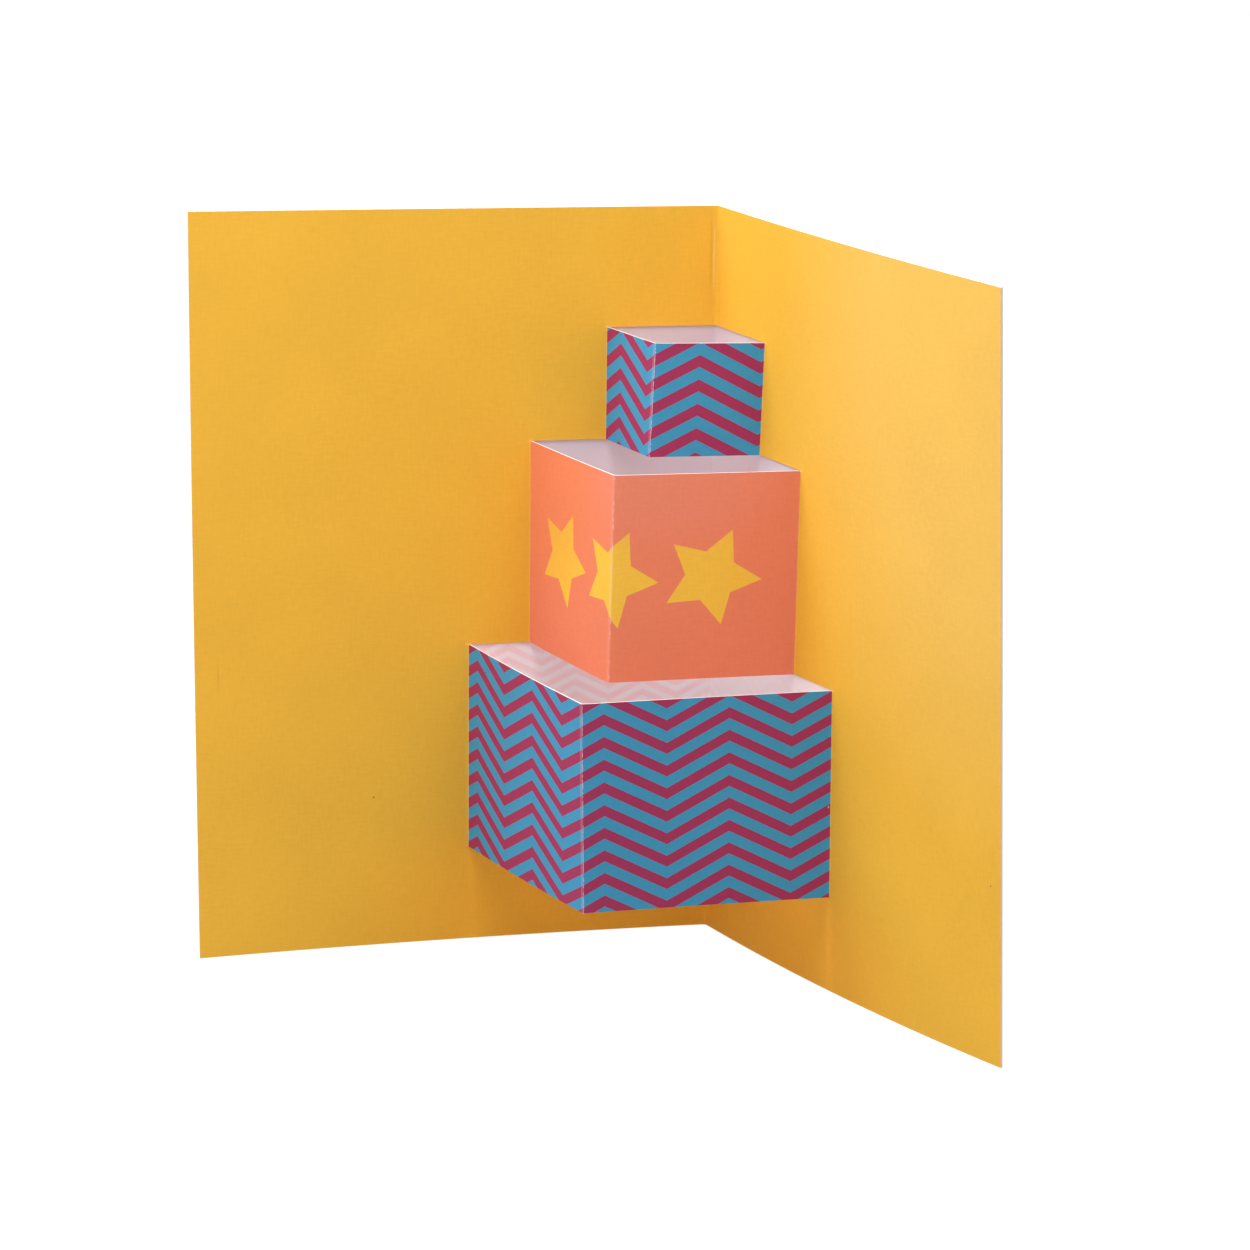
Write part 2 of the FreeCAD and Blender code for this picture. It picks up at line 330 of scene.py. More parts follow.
@dataclass(frozen=True)
class StarPrint(CreasedPrint):
    """A row of plain five-pointed stars in a second offset ink, each in a circle 28 mm wide.

    middle: the middle star's centre across the sheet, in mm
    spacing, count: distance between centres, and how many stars there are
    height: height of the centres on the sheet
    tip, notch: radius to the points and to the notches between them
    turn: angle of one point above level, in degrees
    """

    star: str = "#F6C242"
    middle: float = 0.0
    spacing: float = 28.5
    count: int = 3
    height: float = 0.0
    tip: float = 14.1
    notch: float = 7.2
    turn: float = 66.6

    def inks(self, tree: Tree, across: Socket, height: Socket) -> list[Layer]:
        """Give the stars and the worn crease.

        Args:
            tree: the material's node tree.
            across: distance across the flat sheet, in mm.
            height: height on the sheet, in mm.

        Returns:
            The layers, from the lowest up.
        """
        from_middle = add(tree, MATH, [across, self.middle], operation="SUBTRACT")
        half = self.spacing / 2
        sideways = add(tree, MATH, [from_middle, half, -half], operation="WRAP")
        upward = add(tree, MATH, [height, self.height], operation="SUBTRACT")
        offset = add(tree, "ShaderNodeCombineXYZ", [sideways, upward])
        radius = add(tree, VECTOR_MATH, [offset], out="Value", operation="LENGTH")
        bearing = add(tree, MATH, [upward, sideways], operation="ARCTAN2")
        turned = add(tree, MATH, [bearing, math.radians(self.turn)], operation="SUBTRACT")
        half_point = math.pi / 5
        from_tip = add(tree, MATH, [turned, half_point], operation="PINGPONG")
        slant = math.atan2(self.tip - self.notch * math.cos(half_point),
                           self.notch * math.sin(half_point))
        off_normal = add(tree, MATH, [from_tip, slant], operation="SUBTRACT")
        lean = add(tree, MATH, [off_normal], operation="COSINE")
        reach = add(tree, MATH, [radius, lean], operation="MULTIPLY")
        inside = add(tree, MATH, [reach, self.tip * math.cos(slant)], operation="LESS_THAN")
        distance = add(tree, MATH, [from_middle], operation="ABSOLUTE")
        in_row = add(tree, MATH, [distance, self.spacing * self.count / 2], operation="LESS_THAN")
        star = add(tree, MATH, [inside, in_row], operation="MULTIPLY")
        return [(star, self.star), self.crease(tree, across)]


@dataclass(frozen=True)
class CoverStock(CardStock):
    """The cover's inner side: the same uncoated board, unprinted.

    A cool pink shows on it, most at the top, and a faint soft-edged zigzag shows in
    the lowest box. The pink at the top is painted shade and painted bounced light from the strips,
    which make the board darker and pinker towards the top box. Board like this is a little
    see-through, so the zigzag is taken for ink that shows from behind it, which is a guess.

    painted_top_shade: a darker, pinker colour painted at the top box as shade and bounced light,
    where colour is the tint at the lowest one
    ghost, ghost_share: the zigzag's colour, and how much of it shows
    half_period, rise, period: the zigzag's sizes, in mm, as for ChevronPrint
    ghost_edge: distances from a band's middle at which it starts to fade and has gone
    fade, faded: places across between which the zigzag fades to the right, and what is left of it
    highest, fade_out: height that the zigzag reaches, and over how much of it it fades out
    fully: height at which the painted top shade is full
    """

    # Painted shade and bounced pink light for the top box
    painted_top_shade: str = "#D4C2CA"
    ghost: str = "#FFCFD8"
    ghost_share: float = 0.6
    half_period: float = 9.8
    rise: float = 0.5
    period: float = 3.6
    ghost_edge: tuple[float, float] = (0.6, 1.2)
    fade: tuple[float, float] = (-6.0, 2.0)
    faded: float = 0.15
    highest: float = 90.0
    fade_out: float = 3.0
    fully: float = 150.0

    def inks(self, tree: Tree, across: Socket, height: Socket) -> list[Layer]:
        """Give the tint, and the faint zigzag low on the left half.

        Args:
            tree: the material's node tree.
            across: distance across the flat sheet, in mm.
            height: height on the sheet, in mm.

        Returns:
            The layers, from the lowest up.
        """
        beside = add(tree, MATH, [across, self.half_period], operation="PINGPONG")
        drop = add(tree, MATH, [beside, self.rise, height], operation="MULTIPLY_ADD")
        place = add(tree, MATH, [drop, self.period, 0.0], operation="WRAP")
        centred = add(tree, MATH, [place, self.period / 2], operation="SUBTRACT")
        away = add(tree, MATH, [centred], operation="ABSOLUTE")
        band = add(tree, RANGE, [away, *self.ghost_edge, self.ghost_share, 0.0])
        left = add(tree, RANGE, [across, *self.fade, 1.0, self.faded])
        low = add(tree, RANGE, [height, self.highest - self.fade_out, self.highest, 1.0, 0.0])
        on_left = add(tree, MATH, [band, left], operation="MULTIPLY")
        ghost = add(tree, MATH, [on_left, low], operation="MULTIPLY")
        # Painted shade and bounced pink light, growing from the middle box up to the top one
        climb = add(tree, RANGE, [height, self.highest, self.fully, 0.0, 1.0])
        return [(climb, self.painted_top_shade), (ghost, self.ghost)]


# The card


class Pattern(Enum):
    """What a strip of the sheet is printed with."""

    WIDE_CHEVRONS = "bottom_chevron_print"
    STARS = "star_print"
    SMALL_CHEVRONS = "top_chevron_print"


@dataclass(frozen=True)
class GiftBox:
    """A strip of the sheet that stands forward as a box, open above and below.

    base, top: heights of the two slits that free it
    face: width of each face, and how far its outer folds are from the centre fold
    pattern: its print
    wear: share of the front fold's length where the ink has cracked off
    front, front_low: how far its front fold sits right of and behind its ideal place, at its top
        and at its foot
    left: how far its left fold sits out along the panel
    right_low: how far its right fold has crept out along the panel at its foot
    """

    base: float
    top: float
    face: float
    pattern: Pattern
    wear: float
    front: tuple[float, float]
    front_low: tuple[float, float]
    left: float = 0.0
    right_low: float = 0.0

    def settle(self, across: float, height: float, splay: float) -> Vector:
        """Give how far a place on the strip has moved from its ideal place.

        Args:
            across: distance across the flat sheet from the centre fold.
            height: height on the sheet.
            splay: angle of each panel from the card's middle plane, in radians.

        Returns:
            The move, in mm.
        """
        share = max(0.0, 1 - abs(across) / self.face)
        beyond = max(0.0, abs(across) - self.face) / self.face
        edge = abs(across) / self.face if beyond == 0 else max(0.0, 1 - beyond)
        way = Vector((math.copysign(math.sin(splay), across), -math.cos(splay), 0))
        climb = (height - self.base) / (self.top - self.base)
        outward = self.left if across < 0 else self.right_low * (1 - climb)
        forward = Vector((*self.front_low, 0)).lerp(Vector((*self.front, 0)), climb)
        return forward * share + way * outward * edge


@dataclass(frozen=True)
class Panel:
    """How one half of the card stands: every angle is in degrees.

    splay: angle from the card's middle plane, at half height beside the spine
    twist: how much more the top is splayed than the foot
    bow: how much more the outer edge is splayed than the spine, as the card curls
    curl: how much more the top is bowed than the foot
    """

    splay: float
    twist: float
    bow: float
    curl: float


@dataclass
class Card:
    """The open card: its flat size, its folds and how its paper has settled.

    width, height, thickness: of each flat sheet
    glue: the gap that the glue between the sheets fills
    fold: radius to which the folds are rounded
    spine: where the centre fold stands, as right and back of the frame's origin
    """

    width: float = 297.0
    height: float = 210.0
    thickness: float = 0.3
    glue: float = 0.02
    fold: float = 0.45
    spine: tuple[float, float] = (-3.2, 49.85)
    left: Panel = Panel(52.5, 3.0, -2.0, 3.0)
    right: Panel = Panel(52.5, -1.0, 4.0, -2.0)
    boxes: tuple[GiftBox, ...] = (
        GiftBox(27.0, 86.0, 70.0, Pattern.WIDE_CHEVRONS, wear=0.7,
                front=(2.0, -3.8), front_low=(1.5, -2.3)),
        GiftBox(86.0, 144.0, 51.5, Pattern.STARS, wear=0.3,
                front=(-0.2, -0.6), front_low=(-1.5, -1.3), left=1.0, right_low=-2.0),
        GiftBox(144.0, 176.0, 30.0, Pattern.SMALL_CHEVRONS, wear=0.8,
                front=(-1.6, 1.4), front_low=(-2.8, 0.8), left=1.0, right_low=-2.0),
    )

    def splay(self) -> float:
        """Give the panels' mean splay, in radians."""
        return math.radians((self.left.splay + self.right.splay) / 2)

    def fold_inputs(self) -> dict[str, Size]:
        """Give what the folding rule needs to know.

        Returns:
            Names and values of the rule's inputs, in metres and radians.
        """
        inputs = {"Height": self.height * MM, "Leg": self.width / 2 * MM, "Fold": self.fold * MM,
                  "Spine x": self.spine[0] * MM, "Spine y": self.spine[1] * MM}
        for side, panel in (("Left", self.left), ("Right", self.right)):
            for name in ("splay", "twist", "bow", "curl"):
                inputs[f"{side} {name}"] = math.radians(getattr(panel, name))
        return inputs


class GeometryTree:
    """A Geometry Nodes tree with geometry in and out and a named input for each of its sizes."""

    def __init__(self, name: str, inputs: Mapping[str, Size]) -> None:
        """Start the tree.

        Args:
            name: the tree's name.
            inputs: names and values of its inputs, in metres and radians.
        """
        self.tree = bpy.data.node_groups.new(name, "GeometryNodeTree")
        self.inputs = dict(inputs)
        sockets = self.tree.interface
        sockets.new_socket("Geometry", in_out="INPUT", socket_type="NodeSocketGeometry")
        sockets.new_socket("Geometry", in_out="OUTPUT", socket_type="NodeSocketGeometry")
        for key, value in self.inputs.items():
            kind = "NodeSocketFloat" if isinstance(value, float) else "NodeSocketVector"
            sockets.new_socket(key, in_out="INPUT", socket_type=kind)
        self.source = self.tree.nodes.new("NodeGroupInput")

    def given(self, name: str) -> Socket:
        """Give one of the tree's inputs."""
        return self.source.outputs[name]


class FoldRule(GeometryTree):
    """The Geometry Nodes group that folds a flat sheet.

    A place s across the flat sheet lies p along the left panel and q along the right one, where
    q - p is s without its sign on a panel, and 2d less that on a strip whose folds are d from the
    spine. Each change of direction is rounded, and each panel has its own splay, twist and bow.
    """

    def __init__(self, card: Card) -> None:
        """Build the group for a card.

        Args:
            card: gives the inputs.
        """
        super().__init__("fold_rule", card.fold_inputs())
        self.build()

    def rounded(self, value: Socket) -> Socket:
        """Give a distance without its sign, with the corner at zero rounded by the fold's radius.

        Args:
            value: the distance.

        Returns:
            The rounded distance.
        """
        fold = self.given("Fold")
        square = add(self.tree, MATH, [fold, fold], operation="MULTIPLY")
        total = add(self.tree, MATH, [value, value, square], operation="MULTIPLY_ADD")
        return add(self.tree, MATH, [total], operation="SQRT")

    def panel_angle(self, side: str, along: Socket, rise: Socket) -> Socket:
        """Give the direction of one panel at a place on it.

        Args:
            side: "Left" or "Right".
            along: distance from the spine, whatever its sign.
            rise: height above the middle, as a share of the card's height.

        Returns:
            The splay there, in radians.
        """
        tree = self.tree
        twist, splay, curl, bow = (self.given(f"{side} {name}")
                                   for name in ("twist", "splay", "curl", "bow"))
        level_splay = add(tree, MATH, [rise, twist, splay], operation="MULTIPLY_ADD")
        level_bow = add(tree, MATH, [rise, curl, bow], operation="MULTIPLY_ADD")
        distance = add(tree, MATH, [along], operation="ABSOLUTE")
        out = add(tree, MATH, [distance, self.given("Leg")], operation="DIVIDE")
        return add(tree, MATH, [out, level_bow, level_splay], operation="MULTIPLY_ADD")

    def build(self) -> None:
        """Fill the group's tree."""
        tree = self.tree
        place = add(tree, "GeometryNodeInputPosition")
        across = add(tree, "ShaderNodeSeparateXYZ", [place], out="X")
        height = add(tree, "ShaderNodeSeparateXYZ", [place], out="Z")
        reach, settle = (add(tree, "GeometryNodeInputNamedAttribute", {"Name": name}, data_type=kind)
                         for name, kind in ((REACH, "FLOAT"), (SETTLE, "FLOAT_VECTOR")))
        share = add(tree, MATH, [height, self.given("Height")], operation="DIVIDE")
        rise = add(tree, MATH, [share, 0.5], operation="SUBTRACT")
        from_fold = add(tree, MATH, [self.rounded(across), reach], operation="SUBTRACT")
        gap = add(tree, MATH, [reach, self.rounded(from_fold)], operation="ADD")
        legs = []
        for side, operation in (("Left", "SUBTRACT"), ("Right", "ADD")):
            twice = add(tree, MATH, [across, gap], operation=operation)
            along = add(tree, MATH, [twice, 0.5], operation="MULTIPLY")
            angle = self.panel_angle(side, along, rise)
            for turn in ("SINE", "COSINE"):
                part = add(tree, MATH, [angle], operation=turn)
                legs.append(add(tree, MATH, [along, part], operation="MULTIPLY"))
        left_out, left_depth, right_out, right_depth = legs
        out = add(tree, MATH, [left_out, right_out], operation="ADD")
        x = add(tree, MATH, [out, self.given("Spine x")], operation="ADD")
        depth = add(tree, MATH, [left_depth, right_depth], operation="SUBTRACT")
        y = add(tree, MATH, [depth, self.given("Spine y")], operation="ADD")
        folded = add(tree, "ShaderNodeCombineXYZ", [x, y, height])
        moved = add(tree, VECTOR_MATH, [folded, settle], operation="ADD")
        sheet = add(tree, "GeometryNodeSetPosition",
                    {"Geometry": self.given("Geometry"), "Position": moved})
        add(tree, "NodeGroupOutput", [sheet])


class FoldingTree(GeometryTree):
    """A Geometry Nodes tree that folds what is drawn flat and gives it the card's thickness.

    Its inputs are the folding rule's, and Thickness and Behind: how thick the piece is, and how far
    its face lies behind the card's printed face.
    """

    def __init__(self, name: str, rule: FoldRule, inputs: Mapping[str, Size]) -> None:
        """Start a tree.

        Args:
            name: the tree's name.
            rule: the folding rule.
            inputs: names and values of the tree's own inputs, in metres and radians.
        """
        super().__init__(name, {**rule.inputs, **inputs})
        self.rule = rule

    def body(self, flat: Socket) -> Socket:
        """Fold flat faces and thicken them backwards into a closed body.

        Args:
            flat: the flat faces, which face -Y.

        Returns:
            The body, whose back and edges carry the attribute "bare", and its edges "cut" too.
        """
        tree = self.tree
        inputs = {"Geometry": flat, **{name: self.given(name) for name in self.rule.inputs}}
        folded = add(tree, "GeometryNodeGroup", inputs, node_tree=self.rule.tree)
        normal = add(tree, "GeometryNodeInputNormal")
        back_off = add(tree, MATH, [self.given("Behind"), -1.0], operation="MULTIPLY")
        push = add(tree, VECTOR_MATH, {0: normal, "Scale": back_off}, operation="SCALE")
        face = add(tree, "GeometryNodeSetPosition", {"Geometry": folded, "Offset": push})
        turned = add(tree, "GeometryNodeFlipFaces", [face])
        body = add(tree, "GeometryNodeExtrudeMesh",
                   {"Mesh": turned, "Offset Scale": self.given("Thickness"), "Individual": False},
                   mode="FACES")
        marked = body
        for name, value in ((BARE, True), (CUT, body.node.outputs["Side"])):
            marked = add(tree, "GeometryNodeStoreNamedAttribute",
                         {"Geometry": marked, "Name": name, "Value": value},
                         data_type="BOOLEAN", domain="FACE")
        both = tree.nodes.new("GeometryNodeJoinGeometry")
        tree.links.new(face, both.inputs[0])
        tree.links.new(marked, both.inputs[0])
        return add(tree, "GeometryNodeMergeByDistance",
                   {"Geometry": both.outputs[0], "Distance": WELD})

    def finish(self, shape: Socket, materials: Mapping[str, bpy.types.Material]) -> None:
        """End the tree with Realize Instances and Set Material.

        Args:
            shape: the geometry.
            materials: the materials it gets, by the attribute that marks their faces.
        """
        dressed = add(self.tree, "GeometryNodeRealizeInstances", [shape])
        for mark, material in materials.items():
            marked = add(self.tree, "GeometryNodeInputNamedAttribute", {"Name": mark},
                         data_type="BOOLEAN")
            dressed = add(self.tree, "GeometryNodeSetMaterial",
                          {"Geometry": dressed, "Selection": marked, "Material": material})
        add(self.tree, "NodeGroupOutput", [dressed])

    def bake(self, name: str, mesh: bpy.types.Mesh) -> bpy.types.Object:
        """Run the tree on a mesh and keep the result as a plain mesh.

        Args:
            name: the piece's name.
            mesh: the mesh that the tree starts from.

        Returns:
            The piece, at the origin, with no modifier left on it.
        """
        piece = bpy.data.objects.new(name, mesh)
        nodes = piece.modifiers.new("shape", "NODES")
        nodes.node_group = self.tree
        for item in self.tree.interface.items_tree:
            if item.in_out == "INPUT" and item.name in self.inputs:
                nodes[item.identifier] = self.inputs[item.name]
        bpy.context.scene.collection.objects.link(piece)
        graph = bpy.context.evaluated_depsgraph_get()
        made = bpy.data.meshes.new_from_object(
            piece.evaluated_get(graph), preserve_all_data_layers=True, depsgraph=graph)
        piece.modifiers.clear()
        piece.data = made
        made.name = name
        made.shade_smooth()
        made.set_sharp_from_angle(angle=SHARP)
        return piece


@dataclass
class FoldedSheet:
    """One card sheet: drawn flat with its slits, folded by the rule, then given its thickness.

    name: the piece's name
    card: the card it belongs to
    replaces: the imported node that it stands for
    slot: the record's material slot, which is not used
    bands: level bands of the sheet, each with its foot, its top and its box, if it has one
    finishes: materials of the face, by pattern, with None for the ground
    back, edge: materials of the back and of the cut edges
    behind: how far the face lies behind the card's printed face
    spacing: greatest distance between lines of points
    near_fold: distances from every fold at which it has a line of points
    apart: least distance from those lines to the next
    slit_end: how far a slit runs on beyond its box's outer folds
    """

    name: str
    card: Card
    replaces: str
    slot: str
    bands: list[tuple[float, float, Union[GiftBox, None]]]
    finishes: dict[Union[Pattern, None], bpy.types.Material]
    back: bpy.types.Material
    edge: bpy.types.Material
    behind: float = 0.0
    spacing: float = 6.0
    near_fold: tuple[float, ...] = (0.0, 0.15, 0.35, 0.7, 1.5, 3.0)
    apart: float = 1.0
    slit_end: float = 1.5

    def stations(self) -> list[float]:
        """Give the distances across the sheet at which it has a line of points.

        Returns:
            Distances from the centre fold, close together beside every fold.
        """
        half = self.card.width / 2
        folds = [0.0] + [box.face * side for _, _, box in self.bands if box for side in (-1, 1)]
        kept = {round(fold + side * off, 3)
                for fold in folds for off in self.near_fold for side in (-1, 1)}
        steps = round(half / self.spacing)
        spread = [half * step / steps for step in range(-steps, steps + 1)]
        clearance = max(self.near_fold) + self.apart
        clear = [s for s in spread if all(abs(s - fold) > clearance for fold in folds)]
        return sorted(kept | set(clear))

    def flat_mesh(self) -> bpy.types.Mesh:
        """Draw the die-cut sheet flat, facing -Y, with its print's coordinates.

        Returns:
            A mesh whose points know their strip's reach and how far they have settled.
        """
        stations = self.stations()
        points: list[tuple[float, float, float]] = []
        reaches: list[float] = []
        settles: list[Vector] = []
        faces: list[tuple[int, ...]] = []
        prints: list[int] = []
        order = list(self.finishes)
        below: dict[int, int] = {}
        for number, (foot, top, box) in enumerate(self.bands):
            reach = box.face if box else 0.0
            next_box = self.bands[number + 1][2] if number + 1 < len(self.bands) else None
            slit = max(reach, next_box.face if next_box else 0.0)
            steps = max(1, round((top - foot) / self.spacing))
            rows = []
            for step in range(steps + 1):
                height = foot + (top - foot) * step / steps
                row = dict(below) if step == 0 else {}
                for column, across in enumerate(stations):
                    if column in row:
                        continue
                    row[column] = len(points)
                    points.append((across * MM, 0.0, height * MM))
                    reaches.append(reach * MM)
                    moved = box.settle(across, height, self.card.splay()) if box else Vector()
                    settles.append(moved * MM)
                rows.append(row)
            for low, high in zip(rows, rows[1:]):
                for column, (start, end) in enumerate(zip(stations, stations[1:])):
                    faces.append((low[column], low[column + 1], high[column + 1], high[column]))
                    on_box = box and abs(start + end) / 2 < reach
                    prints.append(order.index(box.pattern if on_box else None))
            # The next band shares this row's points, apart from those along the slit between them
            below = {column: point for column, point in rows[-1].items()
                     if not slit or abs(stations[column]) >= slit + self.slit_end}
        mesh = bpy.data.meshes.new(f"{self.name}_flat")
        mesh.from_pydata(points, [], faces)
        for finish in self.finishes.values():
            mesh.materials.append(finish)
        mesh.polygons.foreach_set("material_index", prints)
        mesh.attributes.new(REACH, "FLOAT", "POINT").data.foreach_set("value", reaches)
        flat_settles = [value for move in settles for value in move]
        mesh.attributes.new(SETTLE, "FLOAT_VECTOR", "POINT").data.foreach_set("vector", flat_settles)
        print_map = mesh.uv_layers.new(name=FLAT)
        for loop in mesh.loops:
            x, _, z = points[loop.vertex_index]
            print_map.data[loop.index].uv = (x / MM, z / MM)
        return mesh

    def build(self, rule: FoldRule) -> bpy.types.Object:
        """Make the folded sheet as a finished piece.

        Args:
            rule: the folding rule.

        Returns:
            The piece, riding on the card's only body.
        """
        inputs = {"Thickness": self.card.thickness * MM, "Behind": self.behind * MM}
        folding = FoldingTree(f"{self.name}_folding", rule, inputs)
        body = folding.body(folding.given("Geometry"))
        folding.finish(body, {BARE: self.back, CUT: self.edge})
        piece = folding.bake(self.name, self.flat_mesh())
        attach(piece, "root")
        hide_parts(self.replaces)
        log.info("%s: %d faces", self.name, len(piece.data.polygons))
        return piece


@dataclass
class InkCracks:
    """Flecks of bare board along the boxes' front folds, where the creased ink has broken off.

    spacing: distance from fleck to fleck along a fold
    wander: how far a fleck strays across and along the fold
    narrow, long: least and greatest half width, and half length, of a fleck
    tilt: how far a fleck leans from the fold's direction, in degrees
    raised, depth: how far a fleck stands off the print, and how thick it is
    corners: number of a fleck's corners
    """

    card: Card
    material: bpy.types.Material
    spacing: float = 0.8
    wander: tuple[float, float] = (0.05, 0.3)
    narrow: tuple[float, float] = (0.04, 0.085)
    long: tuple[float, float] = (0.25, 0.75)
    tilt: float = 8.0
    raised: float = 0.04
    depth: float = 0.08
    corners: int = 6
    seed: int = 7

    def fold_lines(self) -> bpy.types.Mesh:
        """Draw the boxes' front folds on the flat sheet.

        Returns:
            One edge for each box, whose points know the box's reach, settling and wear.
        """
        lines = bpy.data.meshes.new("ink_cracks_flat")
        ends = [(box, height) for box in self.card.boxes for height in (box.base, box.top)]
        lines.from_pydata([(0.0, 0.0, height * MM) for _, height in ends],
                          [(2 * n, 2 * n + 1) for n in range(len(self.card.boxes))], [])
        splay = self.card.splay()
        moves = [value * MM for box, height in ends for value in box.settle(0.0, height, splay)]
        for name, kind, field, values in (
                (REACH, "FLOAT", "value", [box.face * MM for box, _ in ends]),
                (SETTLE, "FLOAT_VECTOR", "vector", moves),
                (WEAR, "FLOAT", "value", [box.wear for box, _ in ends])):
            lines.attributes.new(name, kind, "POINT").data.foreach_set(field, values)
        return lines

    def sizes(self) -> dict[str, Size]:
        """Give the sizes that the flecks' tree needs.

        Returns:
            Names and values of the tree's own inputs, in metres and radians.
        """
        across, along = self.wander
        return {"Thickness": self.depth * MM, "Behind": -self.raised * MM,
                "Spacing": self.spacing * MM,
                "Stray": (across * MM, 0.0, along * MM),
                "Tilt": (0.0, math.radians(self.tilt), 0.0),
                "Least size": (self.narrow[0] * MM, 1.0, self.long[0] * MM),
                "Greatest size": (self.narrow[1] * MM, 1.0, self.long[1] * MM)}

    def build(self, rule: FoldRule) -> bpy.types.Object:
        """Scatter the flecks along the folds and fold them with the card.

        Args:
            rule: the folding rule.

        Returns:
            The flecks, as one piece.
        """
        folding = FoldingTree("ink_cracks_folding", rule, self.sizes())
        tree = folding.tree
        curve = add(tree, "GeometryNodeMeshToCurve", [folding.given("Geometry")])
        points = add(tree, "GeometryNodeCurveToPoints",
                     {"Curve": curve, "Length": folding.given("Spacing")}, mode="LENGTH")
        wear = add(tree, "GeometryNodeInputNamedAttribute", {"Name": WEAR}, data_type="FLOAT")
        sound = add(tree, MATH, [1.0, wear], operation="SUBTRACT")
        unbroken = add(tree, "FunctionNodeRandomValue", {"Probability": sound, "Seed": self.seed},
                       out=3, data_type="BOOLEAN")
        broken = add(tree, "GeometryNodeDeleteGeometry", {"Geometry": points, "Selection": unbroken},
                     domain="POINT")
        # Each draw's least and greatest, and the sign of the least
        ranges = (("Stray", "Stray", -1.0), ("Least size", "Greatest size", 1.0),
                  ("Tilt", "Tilt", -1.0))
        draws = []
        for seed, (least, greatest, sign) in enumerate(ranges, self.seed + 1):
            low = add(tree, VECTOR_MATH, {0: folding.given(least), "Scale": sign}, operation="SCALE")
            high = folding.given(greatest)
            draws.append(add(tree, "FunctionNodeRandomValue", {"Min": low, "Max": high, "Seed": seed},
                             data_type="FLOAT_VECTOR"))
        stray, size, turn = draws
        strewn = add(tree, "GeometryNodeSetPosition", {"Geometry": broken, "Offset": stray})
        disc = add(tree, "GeometryNodeMeshCircle", {"Vertices": self.corners, "Radius": 1.0},
                   fill_type="TRIANGLE_FAN")
        facing = add(tree, "GeometryNodeTransform",
                     {"Geometry": disc, "Rotation": (math.pi / 2, 0.0, 0.0)})
        flecks = add(tree, "GeometryNodeInstanceOnPoints",
                     {"Points": strewn, "Instance": facing, "Scale": size, "Rotation": turn})
        real = add(tree, "GeometryNodeRealizeInstances", [flecks])
        printed = add(tree, "GeometryNodeSetMaterial", {"Geometry": real, "Material": self.material})
        folding.finish(folding.body(printed), {BARE: self.material})
        piece = folding.bake("ink_cracks", self.fold_lines())
        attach(piece, "root")
        log.info("ink_cracks: %d faces", len(piece.data.polygons))
        return piece


# The studio


@dataclass(frozen=True)
class Lamp:
    """A square soft lamp: its name, its place and its side in metres, and its power in watts."""

    name: str
    place: tuple[float, float, float]
    side: float
    power: float


